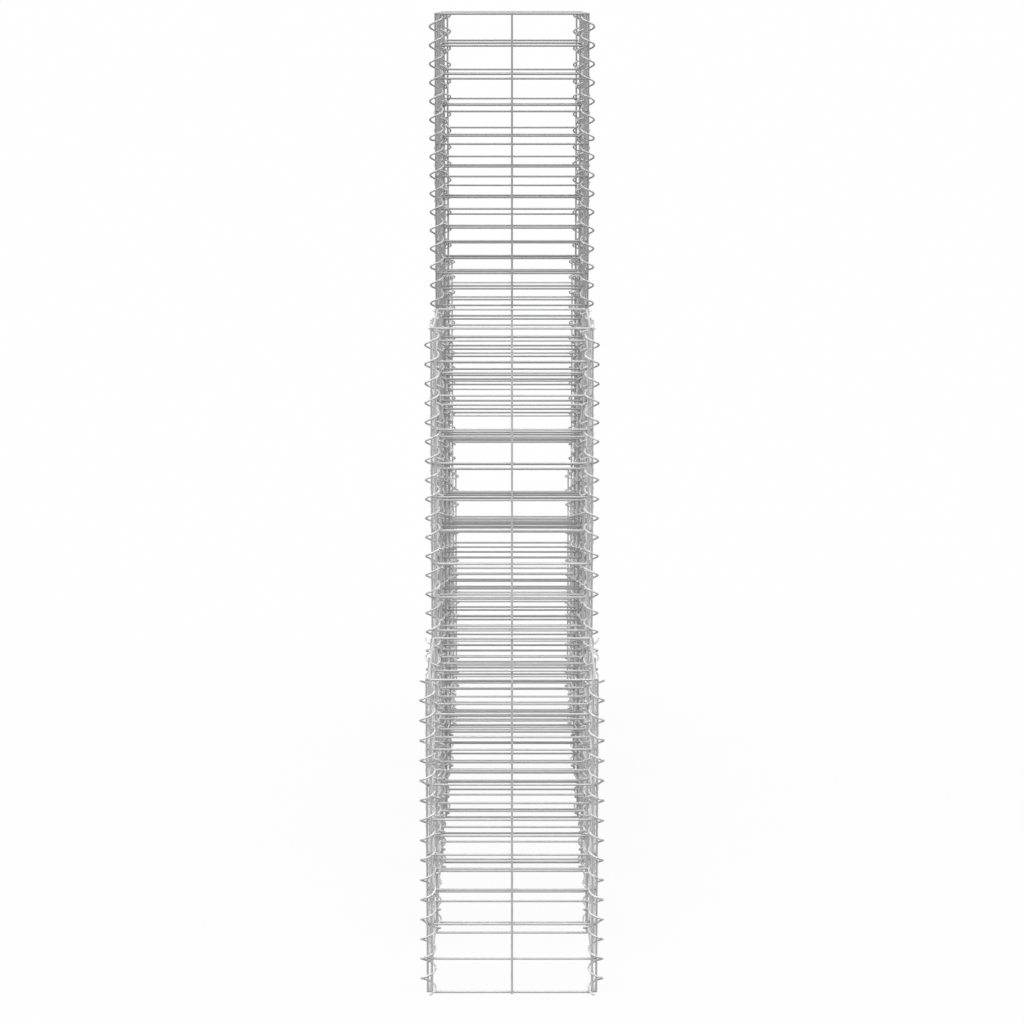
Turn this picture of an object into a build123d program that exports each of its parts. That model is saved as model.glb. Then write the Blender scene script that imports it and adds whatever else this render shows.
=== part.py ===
"""Row of free-standing welded-wire gabion baskets, in millimetres.

Six baskets stand one behind the other in a straight row. They are one, two and three storeys
high and then step down again, so that the row climbs to its middle and falls to its far end.
Each basket is a square cage with no floor and no lid. It has four flat panels of welded mesh,
and the panels are laced together by a wire spiral down each corner. Round wire is drawn as
square bar of about the same breadth.

X runs across the row, Y along it and Z up. The origin is on the ground at the row's middle.
"""
import os
from math import cos, pi, sin, sqrt

from build123d import *

# Row
STOREYS_PER_BAY = (1, 2, 3, 3, 2, 1)
STOREY_HEIGHT = 500.0
BASKET_GAP = 36.0

# Welded mesh panel
ROWS_PER_STOREY = 9
CELLS_ACROSS = 2
CELL_WIDTH = 123.6
MESH_BAR = 3.1
WELD_DEPTH = 0.25

# Corners
CORNER_STEP = 7.0
CORNER_CLEARANCE = 0.3
SPIRAL_BAR = 1.9
SPIRAL_RADIUS = 10.8
SPIRAL_CLEARANCE = 0.1
SPIRAL_END_COVER = 0.6
BENDS_PER_TURN = 6

ROW_HEIGHT = STOREY_HEIGHT / ROWS_PER_STOREY
PANEL_HALF_WIDTH = CELL_WIDTH * CELLS_ACROSS / 2
PANEL_PLANE = PANEL_HALF_WIDTH + CORNER_STEP
BAY_PITCH = 2 * PANEL_PLANE + MESH_BAR + BASKET_GAP

# The level wires lie against the inside of the uprights, sunk a little into them at the welds.
LEVEL_WIRE_PLANE = PANEL_PLANE - MESH_BAR + WELD_DEPTH
LEVEL_WIRE_LENGTH = 2 * (LEVEL_WIRE_PLANE - MESH_BAR / 2 - CORNER_CLEARANCE)

# The bends of a spiral lie a little outside its radius and the middles of its sides a little inside.
BEND_ANGLE = 2 * pi / BENDS_PER_TURN
BEND_RADIUS = SPIRAL_RADIUS / sqrt(cos(BEND_ANGLE / 2))
SIDE_LENGTH_IN_PLAN = 2 * BEND_RADIUS * sin(BEND_ANGLE / 2)


def spiral_slope(pitch):
    """Rise of a spiral's straight sides over their length in plan."""
    return pitch / BENDS_PER_TURN / SIDE_LENGTH_IN_PLAN


def spiral_half_thickness(pitch):
    """Half of the spiral bar's greatest thickness, measured upright."""
    return SPIRAL_BAR / sqrt(2) * sqrt(1 + spiral_slope(pitch) ** 2)


def crossing_height(pitch):
    """Height between the centre of a level wire and the centre of a spiral that just clears it."""
    climb_over_wire = spiral_slope(pitch) * MESH_BAR / 2 / cos(BEND_ANGLE / 2)
    return MESH_BAR / 2 + climb_over_wire + spiral_half_thickness(pitch) + SPIRAL_CLEARANCE


def finest_pitch():
    """Pitch of the tightest spiral whose every turn clears the level wires of both panels.

    The wires of two panels cross a spiral a quarter of a turn apart. When a quarter of the pitch
    is a whole part of the row height, every crossing has the same clearance.
    """
    parts = 1
    while ROW_HEIGHT / (parts + 1) >= 2 * crossing_height(4 * ROW_HEIGHT / (parts + 1)):
        parts += 1
    return 4 * ROW_HEIGHT / parts


SPIRAL_PITCH = finest_pitch()
QUARTER_TURN_RISE = SPIRAL_PITCH / 4
LOWEST_OUTER_BEND = 3.5 * QUARTER_TURN_RISE


def mesh_panel(storeys):
    """Flat panel of welded wire, standing across Y with its uprights on the -Y side."""
    height = storeys * STOREY_HEIGHT
    levels = [row * ROW_HEIGHT for row in range(storeys * ROWS_PER_STOREY + 1)]
    levels[0] += MESH_BAR / 2
    levels[-1] -= MESH_BAR / 2
    columns = [column * CELL_WIDTH - PANEL_HALF_WIDTH for column in range(CELLS_ACROSS + 1)]

    with BuildPart() as panel:
        with BuildSketch(Plane.XZ.offset(PANEL_PLANE - MESH_BAR / 2)):
            with Locations(*[(x, 0) for x in columns]):
                Rectangle(MESH_BAR, height, align=(Align.CENTER, Align.MIN))
        extrude(amount=MESH_BAR)
        with BuildSketch(Plane.XZ.offset(LEVEL_WIRE_PLANE - MESH_BAR / 2)):
            with Locations(*[(0, z) for z in levels]):
                Rectangle(LEVEL_WIRE_LENGTH, MESH_BAR)
        extrude(amount=MESH_BAR)
    return panel.part


def corner_spiral(storeys):
    """Right-handed spiral for the corner at -X and -Y, round the line where level wires would meet.

    It starts just above the ground, ends under the top wires, and has straight sides that meet
    at mitred bends.
    """
    end_height = spiral_half_thickness(SPIRAL_PITCH) + SPIRAL_END_COVER
    top_height = storeys * STOREY_HEIGHT - MESH_BAR - end_height
    bend_rise = SPIRAL_PITCH / BENDS_PER_TURN
    first_bend = int((end_height - LOWEST_OUTER_BEND) // bend_rise) + 1
    last_bend = int((top_height - LOWEST_OUTER_BEND) // bend_rise)
    bends = []
    for bend in range(first_bend, last_bend + 1):
        direction = pi + bend * BEND_ANGLE
        x = BEND_RADIUS * cos(direction) - LEVEL_WIRE_PLANE
        y = BEND_RADIUS * sin(direction) - LEVEL_WIRE_PLANE
        bends.append((x, y, LOWEST_OUTER_BEND + bend * bend_rise))
    path = Polyline(*bends)
    section = Plane(origin=path @ 0, z_dir=path % 0) * Rectangle(SPIRAL_BAR, SPIRAL_BAR)
    return sweep(sections=section, path=path, transition=Transition.RIGHT)


def basket(storeys):
    """Pieces of one basket round its own centre line, by name."""
    panel = mesh_panel(storeys)
    near_left = corner_spiral(storeys)
    near_spirals = [near_left, mirror(near_left, about=Plane.YZ)]
    far_spirals = [mirror(spiral, about=Plane.XZ) for spiral in near_spirals]
    return {
        "front_mesh": panel,
        "back_mesh": Rot(0, 0, 180) * panel,
        "left_mesh": Rot(0, 0, -90) * panel,
        "right_mesh": Rot(0, 0, 90) * panel,
        "corner_spirals": Compound(children=near_spirals + far_spirals),
    }


def write_row():
    """Writes the pieces of every basket at its place in the row."""
    os.makedirs("parts", exist_ok=True)
    baskets = {storeys: basket(storeys) for storeys in sorted(set(STOREYS_PER_BAY))}
    middle_bay = (len(STOREYS_PER_BAY) - 1) / 2
    for bay, storeys in enumerate(STOREYS_PER_BAY):
        place = Pos(0, (bay - middle_bay) * BAY_PITCH, 0)
        for name, piece in baskets[storeys].items():
            export_step(place * piece, f"parts/bay_{bay + 1}_{name}.step", write_pcurves=False)


write_row()
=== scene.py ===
"""Looks of the row of gabion baskets: round galvanised wire, welds, corner spirals and a studio."""
import math

import bpy
import numpy as np
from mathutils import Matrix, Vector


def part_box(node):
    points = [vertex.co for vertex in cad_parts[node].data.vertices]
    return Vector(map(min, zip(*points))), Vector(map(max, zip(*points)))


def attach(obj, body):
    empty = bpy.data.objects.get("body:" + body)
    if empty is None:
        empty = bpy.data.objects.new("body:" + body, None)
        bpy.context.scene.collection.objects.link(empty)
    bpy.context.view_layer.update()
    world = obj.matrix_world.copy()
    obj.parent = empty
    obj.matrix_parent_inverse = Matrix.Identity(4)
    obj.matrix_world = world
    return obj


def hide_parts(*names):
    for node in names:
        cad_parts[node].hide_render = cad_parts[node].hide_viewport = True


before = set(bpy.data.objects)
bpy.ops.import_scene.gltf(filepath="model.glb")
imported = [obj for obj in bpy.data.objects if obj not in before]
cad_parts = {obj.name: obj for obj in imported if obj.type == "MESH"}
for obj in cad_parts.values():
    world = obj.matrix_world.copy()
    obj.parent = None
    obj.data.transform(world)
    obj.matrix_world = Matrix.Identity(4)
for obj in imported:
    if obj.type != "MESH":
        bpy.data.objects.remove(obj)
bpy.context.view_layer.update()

# Lengths are in metres, and angles in radians unless a comment says otherwise
SEED = 11
MM = 0.001
PERCENT = 0.01
FULL_TURN = 2 * math.pi
UP = np.array([0.0, 0.0, 1.0])
BAYS = range(1, 7)

first_panel_low, first_panel_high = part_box("bay_1_front_mesh")

# Wires
MESH_WIRE = 3.5 * MM
SPIRAL_WIRE = 3.2 * MM
MESH_SIDES = 16
CUT_CHAMFER = 0.35 * MM
CUT_RADIUS_SHARE = 0.8

# Panels
ROWS_PER_STOREY = 9
ROW_HEIGHT = (first_panel_high.z - first_panel_low.z) / ROWS_PER_STOREY
EDGE_WIRE_SETBACK = 6.8 * MM
LEVEL_WIRE_CLEARANCE = 0.3 * MM
WIRE_MATERIAL = 0
WELD_MATERIAL = 1

# Welds: how far the wires sink into each other, and the bead at each crossing
WELD_SINK = 0.3 * MM
WELD_BREADTH = 2.35 * MM
WELD_THICKNESS = 1.15 * MM
WELD_SIZE_SPREAD = 0.08
WELD_SIDES = 10
WELD_RINGS = 5

# Corner spirals
SPIRAL_AXIS_SETBACK = 1.3 * MM
SPIRAL_RADIUS = 11.1 * MM
SPIRAL_PITCH = 0.5682 * ROW_HEIGHT
SPIRAL_SLOPE = SPIRAL_PITCH / (FULL_TURN * SPIRAL_RADIUS)
LOWEST_OUTER_TIP = 0.446 * ROW_HEIGHT
LEVEL_WIRE_INSIDE_AXIS = MESH_WIRE - WELD_SINK - SPIRAL_AXIS_SETBACK
SPIRAL_STEPS_PER_TURN = 20
SPIRAL_SIDES = 12
SPIRAL_END_GAP = 0.15 * MM
CROSSING_GAP = 0.6 * MM
DETOUR_HALF_ANGLE = math.radians(70)
END_BEFORE_TOP_WIRE = math.radians(45)

# Camera: sensor in millimetres, angles in degrees, and the turn about X that makes it look level
IMAGE_WIDTH = 1024
SENSOR_WIDTH = 36.0
FOCAL_LENGTH_PX = 2567.8
LEVEL_VIEW = 90
CAMERA_DISTANCE = 3.794
CAMERA_HEIGHT = 1.528
CAMERA_TILT_DOWN = 8.03
CAMERA_SHIFT_Y = -0.15

# Studio
FLOOR_HALF_SIZE = 60.0
FLOOR_ALBEDO = 0.06
WHITE_POINT = 0.995

# Light all round, and soft lights by azimuth, elevation and spread in degrees, and strength
WORLD_AMBIENT = 0.42
SOFT_LIGHTS = {
    "front_light": (-20.0, 40.0, 50.0, 0.3),
    "top_light": (0.0, 80.0, 70.0, 1.6),
    "left_light": (-80.0, 30.0, 60.0, 1.5),
    "right_light": (80.0, 30.0, 60.0, 1.5),
}

# Zinc coats: brightness of bright and of dull patches, roughness, and patches a metre
ZINC = {
    "mesh_wire": (0.58, 0.53, 0.40, 160.0),
    "weld": (0.51, 0.46, 0.50, 240.0),
    # Spiral wire: the lighter coat and the strong bright patches are painted light, standing in for
    # highlight specks and for light among the packed corner wires
    "spiral_wire": (0.76, 0.46, 0.46, 220.0),
}
METALLIC = 0.3
PATCH_DETAIL = 4.0
PATCH_NOISE_RANGE = (0.35, 0.65)
ROUGHNESS_DROP = 0.08
ROUGHNESS_RISE = 0.12
LUMPS_PER_PATCH = 6
LUMP_DETAIL = 3.0
LUMP_STRENGTH = 0.12
LUMP_HEIGHT = 0.08 * MM

# Tall baskets: all their wire is coloured darker
TALL_BASKET_HEIGHT = 1.25
TALL_MESH_TONE = 0.69
# Their spirals are darkened less than their panels, a painted lightening that stands in for light
# among the packed corner wires
TALL_SPIRAL_TONE_WITH_PAINTED_LIGHT = 0.84

rng = np.random.default_rng(SEED)


def unit(vector):
    """The vector, or each row of an array of them, at length one."""
    vector = np.asarray(vector, float)
    return vector / np.linalg.norm(vector, axis=-1, keepdims=True)


class MeshParts:
    """Collects the vertices and faces of many small shapes for one mesh."""

    def __init__(self):
        self.vertices = []
        self.faces = []
        self.materials = []
        self.count = 0

    def add(self, vertices, faces, material=WIRE_MATERIAL):
        """Adds one shape, whose faces count its own vertices from zero."""
        self.vertices.append(np.asarray(vertices, float))
        self.faces.extend(tuple(int(i) + self.count for i in face) for face in faces)
        self.materials.extend([material] * len(faces))
        self.count += len(vertices)

    def build(self, name, materials):
        """One smooth-shaded object of everything collected."""
        mesh = bpy.data.meshes.new(name)
        mesh.from_pydata(np.concatenate(self.vertices).tolist(), [], self.faces)
        for material in materials:
            mesh.materials.append(material)
        mesh.polygons.foreach_set("material_index", self.materials)
        mesh.polygons.foreach_set("use_smooth", [True] * len(mesh.polygons))
        mesh.update()
        piece = bpy.data.objects.new(name, mesh)
        bpy.context.scene.collection.objects.link(piece)
        return piece


def ring_faces(rings, sides):
    """Quads between rings of vertices, and an end cap at the first and last ring."""
    faces = []
    for ring in range(rings - 1):
        for side in range(sides):
            following = (side + 1) % sides
            low = ring * sides
            high = low + sides
            faces.append((low + side, low + following, high + following, high + side))
    faces.append(tuple(reversed(range(sides))))
    faces.append(tuple(range((rings - 1) * sides, rings * sides)))
    return faces


def tube(points, normals, radii, sides):
    """Vertices and faces of a round bar along points, with a normal and a radius at each point."""
    points = np.asarray(points, float)
    tangents = unit(np.gradient(points, axis=0))
    normals = unit(normals - tangents * np.sum(normals * tangents, axis=1, keepdims=True))
    binormals = np.cross(tangents, normals)
    angles = np.linspace(0, FULL_TURN, sides, endpoint=False)
    spokes = normals[:, None, :] * np.cos(angles)[None, :, None]
    spokes = spokes + binormals[:, None, :] * np.sin(angles)[None, :, None]
    vertices = points[:, None, :] + spokes * np.asarray(radii, float)[:, None, None]
    return vertices.reshape(-1, 3), ring_faces(len(points), sides)


def straight_wire(start, end, across):
    """Straight wire of a panel, whose cut ends have a small chamfer; across is square to it.

    A ring of vertices close behind each chamfer keeps the smooth shading off the long sides.
    """
    step = unit(end - start) * CUT_CHAMFER
    points = [start, start + step, start + 2 * step, end - 2 * step, end - step, end]
    radii = np.full(len(points), MESH_WIRE / 2)
    radii[[0, -1]] *= CUT_RADIUS_SHARE
    return tube(points, np.tile(across, (len(points), 1)), radii, MESH_SIDES)


def weld_bead(centre, across, low, high):
    """Flattened bead squeezed out between two crossed wires, thin along the direction across.

    The bead is cut off level at the heights low and high, which are the ends of the panel.
    """
    size = 1 + WELD_SIZE_SPREAD * rng.uniform(-1, 1)
    level = np.cross(UP, across)
    heights = np.cos(np.linspace(math.pi, 0, WELD_RINGS + 2))[1:-1]
    angles = np.linspace(0, FULL_TURN, WELD_SIDES, endpoint=False)
    spokes = level[None, :] * np.cos(angles)[:, None] + UP[None, :] * np.sin(angles)[:, None]
    rings = []
    for height in heights:
        breadth = WELD_BREADTH * size * math.sqrt(1 - height * height)
        rings.append(centre + across * WELD_THICKNESS * height + spokes * breadth)
    bead = np.concatenate(rings)
    bead[:, 2] = np.clip(bead[:, 2], low, high)
    return bead, ring_faces(WELD_RINGS, WELD_SIDES)


def levels_of(height):
    """Heights of the level wires of a panel, the lowest on the ground and the highest flush on top."""
    levels = [row * ROW_HEIGHT for row in range(round(height / ROW_HEIGHT) + 1)]
    levels[0] += MESH_WIRE / 2
    levels[-1] -= MESH_WIRE / 2
    return levels


def panel_mesh(basket, outward):
    """Welded wire panel on one side of a basket; outward is the direction that the side faces."""
    outward = np.asarray(outward, float)
    sideways = np.cross(UP, outward)
    middle = basket["centre"]
    ground = middle[2]
    upright_plane = basket["half_width"] - MESH_WIRE / 2
    level_plane = upright_plane - MESH_WIRE + WELD_SINK
    edge = upright_plane - EDGE_WIRE_SETBACK
    columns = (-edge, 0.0, edge)
    level_reach = level_plane - MESH_WIRE / 2 - LEVEL_WIRE_CLEARANCE
    weld_plane = (upright_plane + level_plane) / 2
    parts = MeshParts()
    for column in columns:
        foot = middle + outward * upright_plane + sideways * column
        parts.add(*straight_wire(foot, foot + UP * basket["height"], outward))
    for level in levels_of(basket["height"]):
        centre = middle + outward * level_plane + UP * level
        reach = sideways * level_reach
        parts.add(*straight_wire(centre - reach, centre + reach, outward))
        for column in columns:
            weld = middle + outward * weld_plane + sideways * column + UP * level
            parts.add(*weld_bead(weld, outward, ground, ground + basket["height"]), WELD_MATERIAL)
    return parts


def turn_height(turn):
    """Height of an undisturbed spiral at a turn angle; it points straight out at odd half turns."""
    return LOWEST_OUTER_TIP + SPIRAL_PITCH * (turn - math.pi) / FULL_TURN


def height_turn(height):
    """Turn angle at which an undisturbed spiral reaches a height."""
    return math.pi + FULL_TURN * (height - LOWEST_OUTER_TIP) / SPIRAL_PITCH


def wire_crossings(first_turn, last_turn):
    """Turn angles between two others at which a spiral passes the level wires of its two panels."""
    lean = math.asin(LEVEL_WIRE_INSIDE_AXIS / SPIRAL_RADIUS)
    starts = range(math.floor(first_turn / FULL_TURN), math.ceil(last_turn / FULL_TURN) + 1)
    crossings = [start * FULL_TURN + angle for start in starts for angle in (lean, math.pi / 2 - lean)]
    return [crossing for crossing in crossings if first_turn < crossing < last_turn]


def spiral_course(height, levels):
    """Turn angles and heights of a spiral from the ground to the top of a basket.

    Where it would touch a level wire it makes a small detour above or below it, and it ends short
    of the top wires. A sloping wire takes up slant times the height of a level one.
    """
    slant = math.sqrt(1 + SPIRAL_SLOPE ** 2)
    upright_reach = SPIRAL_WIRE / 2 * slant
    clearance = upright_reach + MESH_WIRE / 2 * slant + CROSSING_GAP
    first_turn = height_turn(upright_reach + SPIRAL_END_GAP)
    last_turn = height_turn(height - upright_reach - SPIRAL_END_GAP)
    for crossing in wire_crossings(last_turn, last_turn + END_BEFORE_TOP_WIRE):
        last_turn = min(last_turn, crossing - END_BEFORE_TOP_WIRE)
    steps = round((last_turn - first_turn) / FULL_TURN * SPIRAL_STEPS_PER_TURN)
    turns = np.linspace(first_turn, last_turn, steps + 1)
    heights = turn_height(turns)
    for crossing in wire_crossings(first_turn, last_turn):
        crossing_height = turn_height(crossing)
        offset = crossing_height - min(levels, key=lambda level: abs(level - crossing_height))
        push = math.copysign(max(clearance - abs(offset), 0.0), offset)
        reach = np.clip((turns - crossing) / DETOUR_HALF_ANGLE, -1, 1)
        heights = heights + push * np.cos(reach * math.pi / 2) ** 2
    return turns, heights


def spiral_mesh(basket):
    """The four corner spirals of a basket, each the mirror image of its neighbours."""
    axis_offset = basket["half_width"] - MESH_WIRE / 2 - SPIRAL_AXIS_SETBACK
    turns, heights = spiral_course(basket["height"], levels_of(basket["height"]))
    radii = np.full(len(heights), SPIRAL_WIRE / 2)
    radii[[0, -1]] *= CUT_RADIUS_SHARE
    parts = MeshParts()
    for side_x in (-1, 1):
        for side_y in (-1, 1):
            spokes = np.stack([-side_x * np.cos(turns), -side_y * np.sin(turns), 0 * turns], axis=1)
            axis = basket["centre"] + np.array([side_x * axis_offset, side_y * axis_offset, 0.0])
            points = axis + spokes * SPIRAL_RADIUS + UP * heights[:, None]
            parts.add(*tube(points, spokes, radii, SPIRAL_SIDES))
    return parts


def basket_sizes(bay):
    """Place and size of one basket, square in plan, from the boxes of its panels.

    The centre is on the ground.
    """
    front_low, front_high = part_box(f"bay_{bay}_front_mesh")
    _, back_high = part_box(f"bay_{bay}_back_mesh")
    return {
        "centre": np.array([0.0, (front_low.y + back_high.y) / 2, front_low.z]),
        "half_width": (back_high.y - front_low.y) / 2,
        "height": front_high.z - front_low.z,
    }


def nodes_of(owner):
    """Nodes and links of a material or a world, emptied."""
    owner.use_nodes = True
    owner.node_tree.nodes.clear()
    return owner.node_tree.nodes, owner.node_tree.links


def grey(level):
    """Opaque grey, from black at zero to white at one."""
    return (level, level, level, 1.0)


def zinc(wire, tone):
    """Galvanised wire: a soft metal sheen with dull patches and a slightly lumpy coat, where the
    spiral wire's bright patches are partly painted highlights.

    A tone under one darkens the whole coat. Each pair of wire and tone is made once.
    """
    name = f"zinc_{wire}_{round(tone / PERCENT)}"
    if name in bpy.data.materials:
        return bpy.data.materials[name]
    bright, dull, roughness, patches_per_metre = ZINC[wire]
    material = bpy.data.materials.new(name)
    nodes, links = nodes_of(material)
    output = nodes.new("ShaderNodeOutputMaterial")
    shader = nodes.new("ShaderNodeBsdfPrincipled")
    shader.inputs["Metallic"].default_value = METALLIC
    place = nodes.new("ShaderNodeTexCoord")

    mottle = nodes.new("ShaderNodeTexNoise")
    mottle.inputs["Scale"].default_value = patches_per_metre
    mottle.inputs["Detail"].default_value = PATCH_DETAIL
    tint = nodes.new("ShaderNodeMix")
    tint.data_type = "RGBA"
    tint.inputs["A"].default_value = grey(dull * tone)
    tint.inputs["B"].default_value = grey(bright * tone)
    contrast = nodes.new("ShaderNodeMapRange")
    contrast.inputs["From Min"].default_value = PATCH_NOISE_RANGE[0]
    contrast.inputs["From Max"].default_value = PATCH_NOISE_RANGE[1]

    lumps = nodes.new("ShaderNodeTexNoise")
    lumps.inputs["Scale"].default_value = patches_per_metre * LUMPS_PER_PATCH
    lumps.inputs["Detail"].default_value = LUMP_DETAIL
    bump = nodes.new("ShaderNodeBump")
    bump.inputs["Strength"].default_value = LUMP_STRENGTH
    bump.inputs["Distance"].default_value = LUMP_HEIGHT
    rough = nodes.new("ShaderNodeMapRange")
    rough.inputs["To Min"].default_value = roughness - ROUGHNESS_DROP
    rough.inputs["To Max"].default_value = roughness + ROUGHNESS_RISE

    links.new(place.outputs["Object"], mottle.inputs["Vector"])
    links.new(place.outputs["Object"], lumps.inputs["Vector"])
    links.new(mottle.outputs["Fac"], contrast.inputs["Value"])
    links.new(contrast.outputs["Result"], tint.inputs["Factor"])
    links.new(tint.outputs["Result"], shader.inputs["Base Color"])
    links.new(lumps.outputs["Fac"], bump.inputs["Height"])
    links.new(bump.outputs["Normal"], shader.inputs["Normal"])
    links.new(mottle.outputs["Fac"], rough.inputs["Value"])
    links.new(rough.outputs["Result"], shader.inputs["Roughness"])
    links.new(shader.outputs["BSDF"], output.inputs["Surface"])
    return material


def background_ray(nodes, links):
    """Socket that is one for camera, glossy and transmission rays, and zero for all others."""
    path = nodes.new("ShaderNodeLightPath")
    first = nodes.new("ShaderNodeMath")
    first.operation = "MAXIMUM"
    second = nodes.new("ShaderNodeMath")
    second.operation = "MAXIMUM"
    links.new(path.outputs["Is Camera Ray"], first.inputs[0])
    links.new(path.outputs["Is Glossy Ray"], first.inputs[1])
    links.new(first.outputs[0], second.inputs[0])
    links.new(path.outputs["Is Transmission Ray"], second.inputs[1])
    return second.outputs[0]


def light_on_floor():
    """How bright an open floor of pure white would be under the world and the soft lights."""
    total = WORLD_AMBIENT
    for _, elevation, _, strength in SOFT_LIGHTS.values():
        total += strength / math.pi * math.sin(math.radians(elevation))
    return total


def floor_material():
    """Floor coat that keeps the object's shadow, and glows just enough to be white elsewhere."""
    material = bpy.data.materials.new("studio_floor")
    nodes, links = nodes_of(material)
    output = nodes.new("ShaderNodeOutputMaterial")
    diffuse = nodes.new("ShaderNodeBsdfDiffuse")
    diffuse.inputs["Color"].default_value = grey(FLOOR_ALBEDO)
    glow = nodes.new("ShaderNodeEmission")
    glow.inputs["Color"].default_value = grey(1.0)
    strength = nodes.new("ShaderNodeMath")
    strength.operation = "MULTIPLY"
    strength.inputs[1].default_value = WHITE_POINT - FLOOR_ALBEDO * light_on_floor()
    total = nodes.new("ShaderNodeAddShader")
    links.new(background_ray(nodes, links), strength.inputs[0])
    links.new(strength.outputs[0], glow.inputs["Strength"])
    links.new(diffuse.outputs["BSDF"], total.inputs[0])
    links.new(glow.outputs["Emission"], total.inputs[1])
    links.new(total.outputs["Shader"], output.inputs["Surface"])
    return material


def make_floor():
    """Wide level floor at height zero."""
    size = FLOOR_HALF_SIZE
    corners = [(-size, -size, 0), (size, -size, 0), (size, size, 0), (-size, size, 0)]
    mesh = bpy.data.meshes.new("studio_floor")
    mesh.from_pydata(corners, [], [(0, 1, 2, 3)])
    mesh.materials.append(floor_material())
    floor = bpy.data.objects.new("studio_floor", mesh)
    bpy.context.scene.collection.objects.link(floor)


def make_world():
    """Soft grey light all round, behind a background that shows as white."""
    world = bpy.data.worlds.new("studio")
    bpy.context.scene.world = world
    nodes, links = nodes_of(world)
    output = nodes.new("ShaderNodeOutputWorld")
    ambient = nodes.new("ShaderNodeBackground")
    ambient.inputs["Color"].default_value = grey(1.0)
    ambient.inputs["Strength"].default_value = WORLD_AMBIENT
    white = nodes.new("ShaderNodeBackground")
    white.inputs["Color"].default_value = grey(1.0)
    white.inputs["Strength"].default_value = WHITE_POINT
    mix = nodes.new("ShaderNodeMixShader")
    links.new(background_ray(nodes, links), mix.inputs["Fac"])
    links.new(ambient.outputs["Background"], mix.inputs[1])
    links.new(white.outputs["Background"], mix.inputs[2])
    links.new(mix.outputs["Shader"], output.inputs["Surface"])


def make_soft_light(name, azimuth, elevation, spread, strength):
    """Soft even light from far away; azimuth zero is the camera's side and angles are in degrees."""
    light = bpy.data.lights.new(name, "SUN")
    light.energy = strength
    light.angle = math.radians(spread)
    lamp = bpy.data.objects.new(name, light)
    lamp.rotation_euler = (math.radians(LEVEL_VIEW - elevation), 0.0, math.radians(azimuth))
    bpy.context.scene.collection.objects.link(lamp)


def make_camera():
    """Camera at the end of the row, a little above the highest basket and tilted down."""
    data = bpy.data.cameras.new("camera")
    data.sensor_width = SENSOR_WIDTH
    data.lens = FOCAL_LENGTH_PX / IMAGE_WIDTH * SENSOR_WIDTH
    data.shift_y = CAMERA_SHIFT_Y
    data.clip_end = 2 * FLOOR_HALF_SIZE
    camera = bpy.data.objects.new("camera", data)
    camera.location = (0.0, first_panel_low.y - CAMERA_DISTANCE, CAMERA_HEIGHT)
    camera.rotation_euler = (math.radians(LEVEL_VIEW - CAMERA_TILT_DOWN), 0.0, 0.0)
    bpy.context.scene.collection.objects.link(camera)
    bpy.context.scene.camera = camera


def dress_basket(bay):
    """Puts round wire in place of each panel and of the spirals of one basket."""
    basket = basket_sizes(bay)
    tall = basket["height"] > TALL_BASKET_HEIGHT
    mesh_tone = TALL_MESH_TONE if tall else 1.0
    # Spirals of the tall baskets are darkened less than their panels: painted light among the packed
    # corner wires
    spiral_tone_with_painted_light = TALL_SPIRAL_TONE_WITH_PAINTED_LIGHT if tall else 1.0
    sides = {"front": (0, -1, 0), "back": (0, 1, 0), "left": (-1, 0, 0), "right": (1, 0, 0)}
    for side, outward in sides.items():
        zincs = [zinc("mesh_wire", mesh_tone), zinc("weld", mesh_tone)]
        piece = panel_mesh(basket, outward).build(f"bay_{bay}_{side}_wires", zincs)
        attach(piece, "root")
        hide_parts(f"bay_{bay}_{side}_mesh")
    spiral_zinc = zinc("spiral_wire", spiral_tone_with_painted_light)
    spirals = spiral_mesh(basket).build(f"bay_{bay}_spiral_wires", [spiral_zinc])
    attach(spirals, "root")
    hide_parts(f"bay_{bay}_corner_spirals")


for bay in BAYS:
    dress_basket(bay)

make_floor()
make_world()
for name, (azimuth, elevation, spread, strength) in SOFT_LIGHTS.items():
    make_soft_light(name, azimuth, elevation, spread, strength)
make_camera()

bpy.context.scene.view_settings.view_transform = "Standard"
